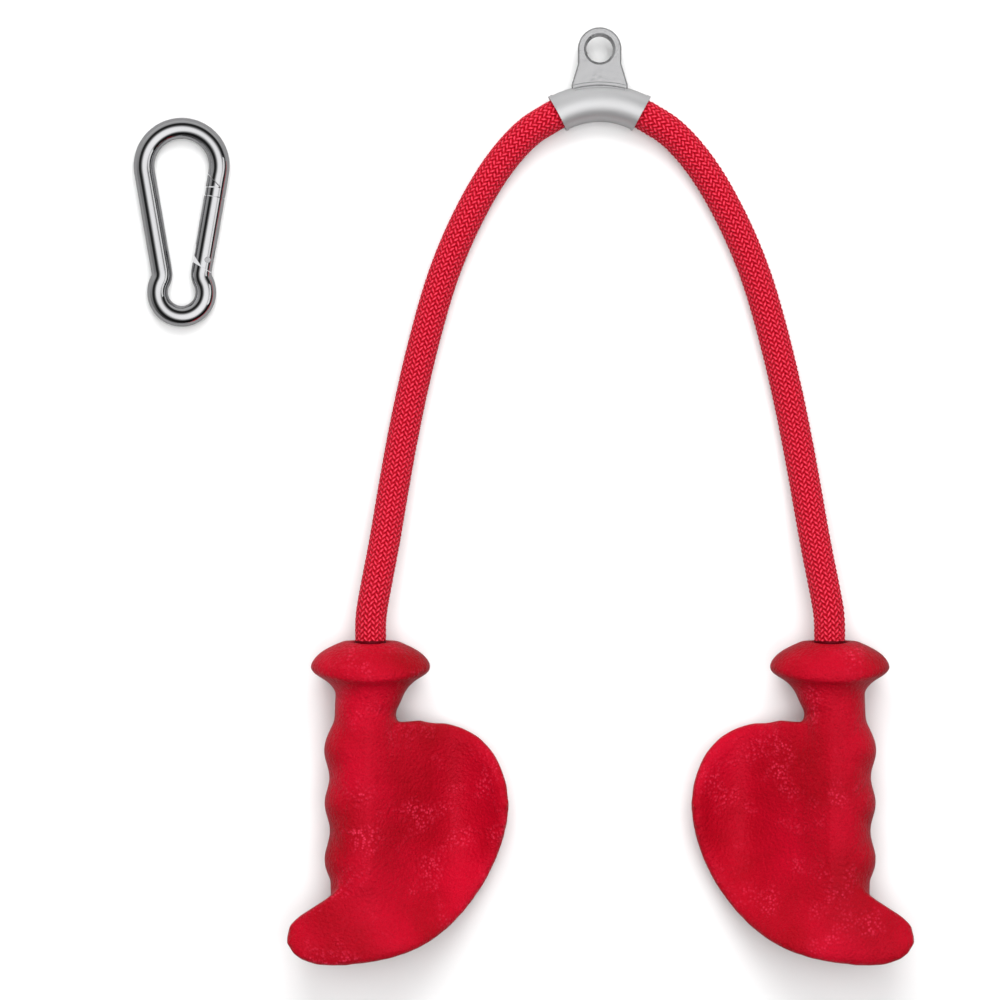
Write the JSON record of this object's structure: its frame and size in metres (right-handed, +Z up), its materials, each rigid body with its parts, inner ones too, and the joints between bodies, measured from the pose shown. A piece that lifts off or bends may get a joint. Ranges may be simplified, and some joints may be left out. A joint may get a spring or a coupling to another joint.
{
  "type": "pulley rope attachment",
  "caption": "Rope attachment for a pulley machine: two palm-rest grips on a braided rope, hung from a metal sleeve with an eye, and a loose snap hook.",
  "frame": {"origin": "middle of the eye's bore", "axes": "+X towards the right grip, +Y from the grips up to the eye, +Z up from the table it lies on, along the eye's bore"},
  "size_m": [0.3727, 0.4468, 0.0415],
  "materials": {
    "braided_rope": "braided polyester, satin",
    "moulded_grip": "matt, fine leather grain",
    "satin_sleeve": "satin, bead blasted",
    "polished_lug": "polished",
    "polished_hook": "polished stainless steel",
    "steel_rivet": "turned",
    "spring_steel": "drawn wire",
    "stainless_washer": "stamped",
    "crimped_aluminium": "crimped, plain",
    "nylon_insert": "moulded nylon",
    "rubber_plug": "moulded"
  },
  "bodies": {
    "hanger": {"hanger_sleeve": "satin_sleeve", "eye_lug": "polished_lug", "lug_weld": "polished_lug", "rope_middle": "braided_rope"},
    "left_leg": {"left_rope_leg": "braided_rope", "left_rope_end": "braided_rope", "left_thrust_washer": "stainless_washer", "left_rope_stop": "crimped_aluminium"},
    "right_leg": {"right_rope_leg": "braided_rope", "right_rope_end": "braided_rope", "right_thrust_washer": "stainless_washer", "right_rope_stop": "crimped_aluminium"},
    "left_handle": {"left_grip": "moulded_grip", "left_wing_insert": "nylon_insert", "left_bore_liner": "nylon_insert", "left_base_plug": "rubber_plug"},
    "right_handle": {"right_grip": "moulded_grip", "right_wing_insert": "nylon_insert", "right_bore_liner": "nylon_insert", "right_base_plug": "rubber_plug"},
    "hook": {"hook_body": "polished_hook"},
    "gate": {"hook_gate": "polished_hook", "gate_rivet": "steel_rivet", "gate_spring": "spring_steel"},
    "plunger": {"gate_plunger": "steel_rivet"}
  },
  "joints": [
    {"name": "left_leg_swing", "type": "hinge", "parent": "hanger", "child": "left_leg", "pos_m": [-0.0237, -0.0328, 0], "axis": [0, 0, 1], "range_deg": [-25, 7]},
    {"name": "left_grip_swivel", "type": "hinge", "parent": "left_leg", "child": "left_handle", "pos_m": [-0.1096, -0.33, 0.0112], "axis": [0, 1, 0], "range_deg": [-180, 180]},
    {"name": "right_leg_swing", "type": "hinge", "parent": "hanger", "child": "right_leg", "pos_m": [0.0237, -0.0328, 0], "axis": [0, 0, -1], "range_deg": [-25, 7]},
    {"name": "right_grip_swivel", "type": "hinge", "parent": "right_leg", "child": "right_handle", "pos_m": [0.1096, -0.33, 0.0112], "axis": [0, 1, 0], "range_deg": [-180, 180]},
    {"name": "hook_lift", "type": "slide", "parent": "hanger", "child": "hook", "axis": [0, 0, 1], "range_m": [0, 0.15]},
    {"name": "gate_hinge", "type": "hinge", "parent": "hook", "child": "gate", "pos_m": [-0.18815, -0.10093, -0.0044], "axis": [0, 0, 1], "range_deg": [0, 25], "stiffness_Nm_per_rad": 0.6, "springref_deg": -17.19},
    {"name": "plunger_slide", "type": "slide", "parent": "gate", "child": "plunger", "axis": [0.1702, 0.9854, 0], "range_m": [0, 0.0018], "deforming": ["gate_spring"]}
  ],
  "couplings": [
    {"joint": "plunger_slide", "follows": "gate_hinge", "m_per_rad": 0.0038}
  ]
}
